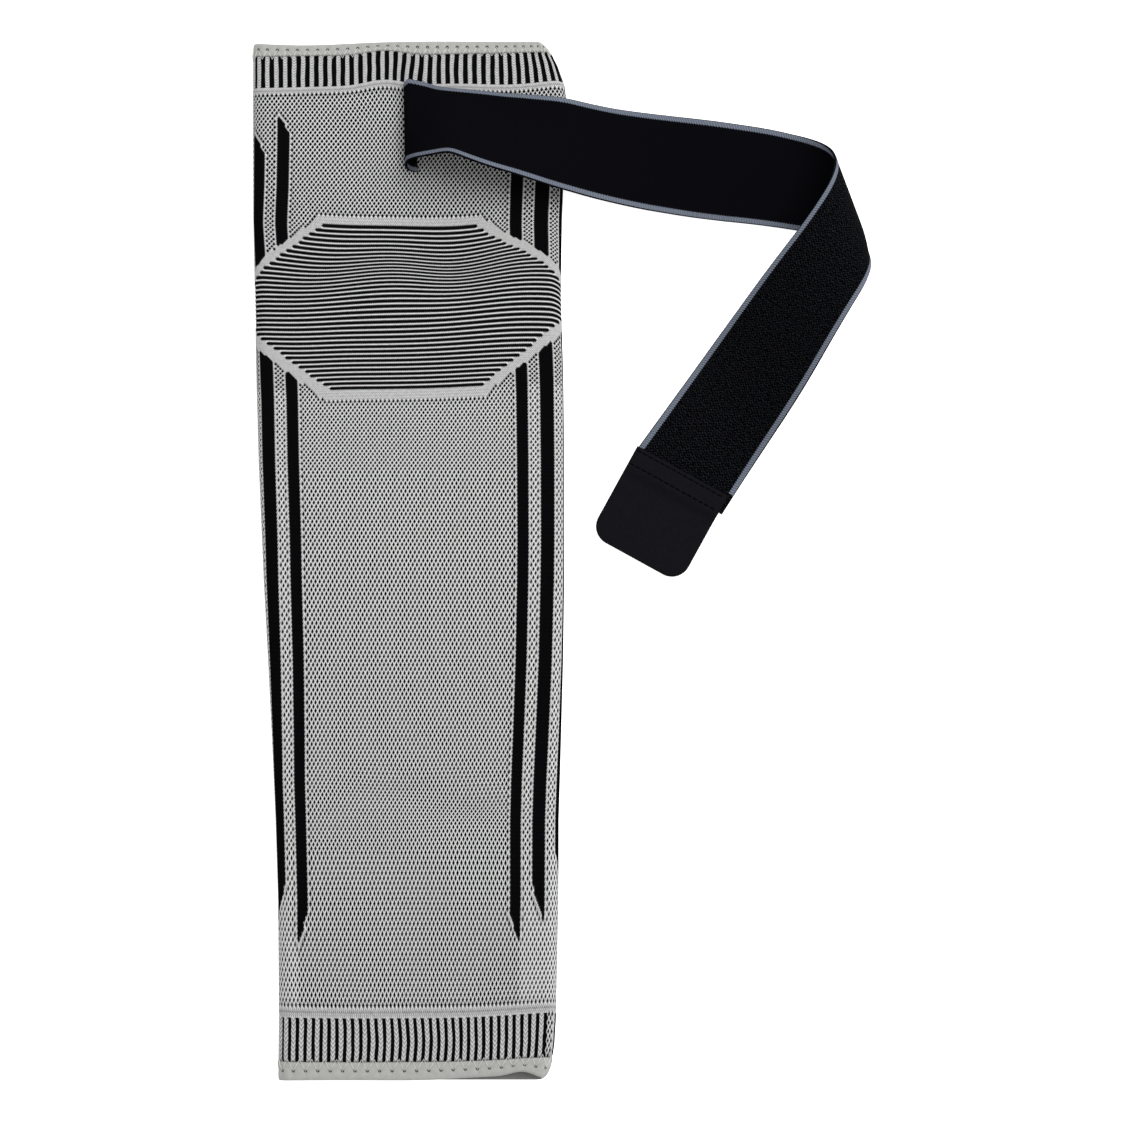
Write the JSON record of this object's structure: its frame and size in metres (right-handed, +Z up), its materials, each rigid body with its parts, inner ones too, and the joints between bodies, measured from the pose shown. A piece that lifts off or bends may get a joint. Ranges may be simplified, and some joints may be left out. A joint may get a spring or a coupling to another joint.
{
  "type": "knee support sleeve",
  "caption": "Long knitted knee and calf support sleeve lying flat, with ribbed cuffs, a ridged knee panel, soft edge bands and a folded elastic strap with a tab.",
  "frame": {"origin": "on the flat underside of the sleeve, near its middle both ways", "axes": "+X across the sleeve towards the strap's fold, +Y along the sleeve towards its wide upper mouth, +Z up from the surface it lies on"},
  "size_m": [0.3215, 0.539, 0.0468],
  "materials": {
    "knit": "light grey and black knitted yarn, matt",
    "band": "brushed pale grey, soft",
    "webbing": "black woven elastic with grey-blue selvedges, matt",
    "tab": "smooth charcoal laminate cloth"
  },
  "bodies": {
    "root": {"sleeve": "knit", "top_cuff": "knit", "bottom_cuff": "knit", "top_band": "band", "bottom_band": "band", "strap": "webbing", "hook_tab": "tab"}
  },
  "joints": []
}
